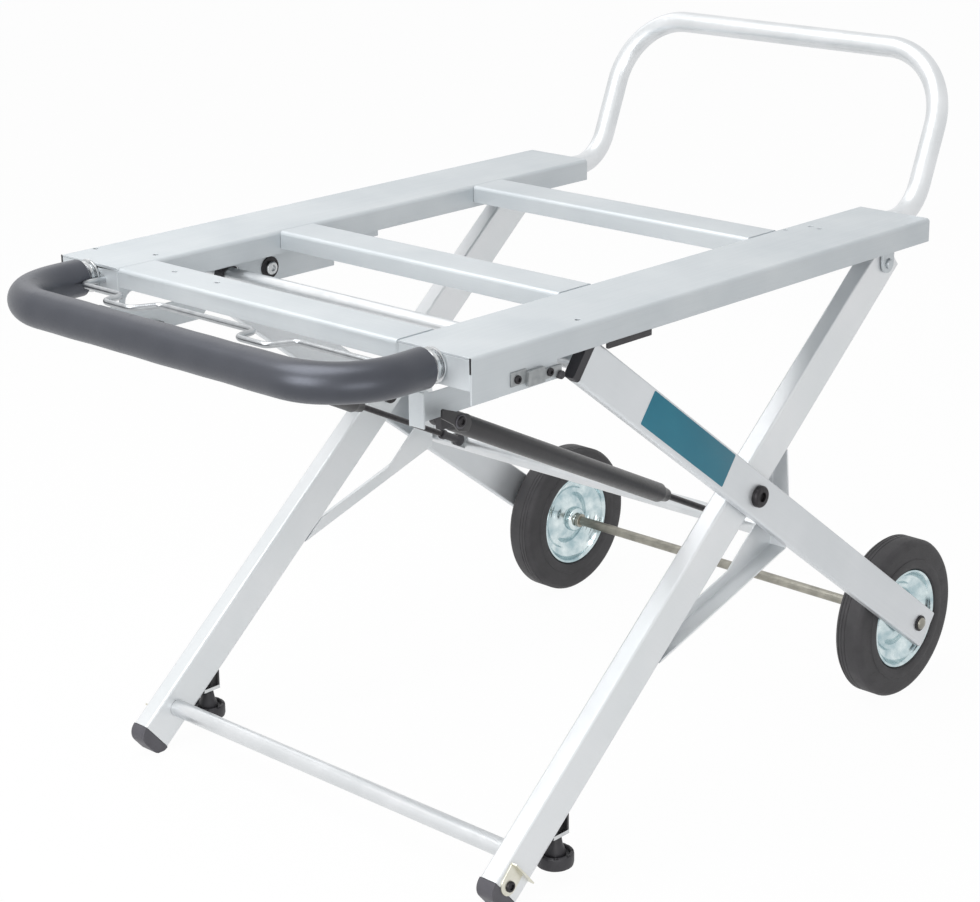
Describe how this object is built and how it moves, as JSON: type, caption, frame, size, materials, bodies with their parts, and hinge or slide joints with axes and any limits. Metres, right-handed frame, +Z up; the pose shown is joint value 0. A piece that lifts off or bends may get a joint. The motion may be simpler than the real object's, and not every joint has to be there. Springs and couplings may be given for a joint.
{
  "type": "table saw stand",
  "caption": "Folding wheeled stand for a table saw: sheet-metal deck on scissor leg frames with a foam grip, rear handle, release bail, gas struts and levelling feet.",
  "frame": {"origin": "centre of the stand's plan box, on the floor", "axes": "+X to the stand's right seen from the grip, +Y from the foam grip to the rear handle, +Z up"},
  "size_m": [0.6126, 1.0242, 0.7653],
  "materials": {
    "satin_aluminium": "satin rolled sheet and extruded tube",
    "polished_tube": "bright drawn round tube",
    "zinc_plated_steel": "zinc plated",
    "plain_steel": "oiled plain steel",
    "foam": "matt closed-cell foam",
    "tyre_rubber": "matt solid rubber",
    "black_plastic": "moulded, matt",
    "black_steel": "black paint, semi-gloss"
  },
  "bodies": {
    "deck": {"rail_left": "satin_aluminium", "rail_right": "satin_aluminium", "end_plate_left": "satin_aluminium", "end_plate_right": "satin_aluminium", "guide_plate_left": "satin_aluminium", "guide_plate_right": "satin_aluminium", "hinge_bracket_left": "satin_aluminium", "hinge_bracket_right": "satin_aluminium", "hinge_pin_left": "plain_steel", "hinge_pin_right": "plain_steel", "latch_plate_left": "zinc_plated_steel", "latch_plate_right": "zinc_plated_steel", "strut_bracket_left": "plain_steel", "strut_bracket_right": "plain_steel", "grip_collar_left": "zinc_plated_steel", "grip_collar_right": "zinc_plated_steel", "front_crossbar": "satin_aluminium", "middle_crossbar": "satin_aluminium", "rear_crossbar": "satin_aluminium", "grip_tube": "polished_tube", "foam_grip": "foam", "rear_handle": "polished_tube"},
    "bail": {"release_bail": "zinc_plated_steel"},
    "foot_frame": {"foot_leg_left": "satin_aluminium", "foot_leg_right": "satin_aluminium", "foot_brace_left": "satin_aluminium", "foot_brace_right": "satin_aluminium", "foot_cap_left": "black_plastic", "foot_cap_right": "black_plastic", "foot_bracket_left": "black_steel", "foot_bracket_right": "black_steel", "foot_tube": "polished_tube"},
    "wheel_frame": {"wheel_leg_left": "satin_aluminium", "wheel_leg_right": "satin_aluminium", "leg_plug_left": "black_plastic", "leg_plug_right": "black_plastic", "pivot_bolt_left": "black_steel", "pivot_bolt_right": "black_steel", "pivot_washer_left": "zinc_plated_steel", "pivot_washer_right": "zinc_plated_steel", "axle_bolt_left": "zinc_plated_steel", "axle_bolt_right": "zinc_plated_steel", "slide_bush_left": "black_plastic", "slide_bush_right": "black_plastic", "slide_tube": "polished_tube", "cross_tube": "polished_tube", "axle": "plain_steel"},
    "left_pawl": {"latch_pawl_left": "zinc_plated_steel"},
    "left_strut_barrel": {"strut_barrel_left": "black_steel"},
    "left_strut_rod": {"strut_rod_left": "black_steel"},
    "left_leveller": {"levelling_foot_left": "black_plastic"},
    "left_wheel": {"tyre_left": "tyre_rubber", "rim_left": "zinc_plated_steel"},
    "right_pawl": {"latch_pawl_right": "zinc_plated_steel"},
    "right_strut_barrel": {"strut_barrel_right": "black_steel"},
    "right_strut_rod": {"strut_rod_right": "black_steel"},
    "right_leveller": {"levelling_foot_right": "black_plastic"},
    "right_wheel": {"tyre_right": "tyre_rubber", "rim_right": "zinc_plated_steel"}
  },
  "joints": [
    {"name": "fold", "type": "hinge", "parent": "deck", "child": "foot_frame", "pos_m": [0, 0.31265, 0.549], "axis": [-1, 0, 0], "range_deg": [0, 28]},
    {"name": "scissor", "type": "hinge", "parent": "foot_frame", "child": "wheel_frame", "pos_m": [0, 0.06888, 0.343], "axis": [-1, 0, 0], "range_deg": [-54, 0]},
    {"name": "bail_pull", "type": "slide", "parent": "deck", "child": "bail", "axis": [0, -1, 0], "range_m": [0, 0.018], "stiffness_N_per_m": 300},
    {"name": "left_pawl_lift", "type": "hinge", "parent": "deck", "child": "left_pawl", "pos_m": [-0.2228, -0.26709, 0.576], "axis": [1, 0, 0], "range_deg": [0, 8.2]},
    {"name": "left_strut_swing", "type": "hinge", "parent": "deck", "child": "left_strut_barrel", "pos_m": [-0.2055, -0.32015, 0.506], "axis": [1, 0, 0], "range_deg": [0, 19.1]},
    {"name": "left_strut_stroke", "type": "slide", "parent": "left_strut_barrel", "child": "left_strut_rod", "axis": [0, 0.8956, -0.4449], "range_m": [-0.0975, 0]},
    {"name": "left_level", "type": "slide", "parent": "foot_frame", "child": "left_leveller", "axis": [0, 0, 1], "range_m": [-0.02, 0.002]},
    {"name": "left_wheel_spin", "type": "hinge", "parent": "wheel_frame", "child": "left_wheel", "pos_m": [-0.26, 0.39599, 0.0965], "axis": [1, 0, 0], "continuous": true},
    {"name": "right_pawl_lift", "type": "hinge", "parent": "deck", "child": "right_pawl", "pos_m": [0.2228, -0.26709, 0.576], "axis": [1, 0, 0], "range_deg": [0, 8.2]},
    {"name": "right_strut_swing", "type": "hinge", "parent": "deck", "child": "right_strut_barrel", "pos_m": [0.2055, -0.32015, 0.506], "axis": [1, 0, 0], "range_deg": [0, 19.1]},
    {"name": "right_strut_stroke", "type": "slide", "parent": "right_strut_barrel", "child": "right_strut_rod", "axis": [0, 0.8956, -0.4449], "range_m": [-0.0975, 0]},
    {"name": "right_level", "type": "slide", "parent": "foot_frame", "child": "right_leveller", "axis": [0, 0, 1], "range_m": [-0.02, 0.002]},
    {"name": "right_wheel_spin", "type": "hinge", "parent": "wheel_frame", "child": "right_wheel", "pos_m": [0.26, 0.39599, 0.0965], "axis": [1, 0, 0], "continuous": true}
  ],
  "couplings": [
    {"joint": "scissor", "follows": "fold", "ratio": -1.9204},
    {"joint": "left_pawl_lift", "follows": "bail_pull", "rad_per_m": 7.76},
    {"joint": "left_strut_swing", "follows": "fold", "ratio": 0.68026},
    {"joint": "left_strut_stroke", "follows": "fold", "m_per_rad": -0.19849},
    {"joint": "right_pawl_lift", "follows": "bail_pull", "rad_per_m": 7.76},
    {"joint": "right_strut_swing", "follows": "fold", "ratio": 0.68026},
    {"joint": "right_strut_stroke", "follows": "fold", "m_per_rad": -0.19849}
  ]
}
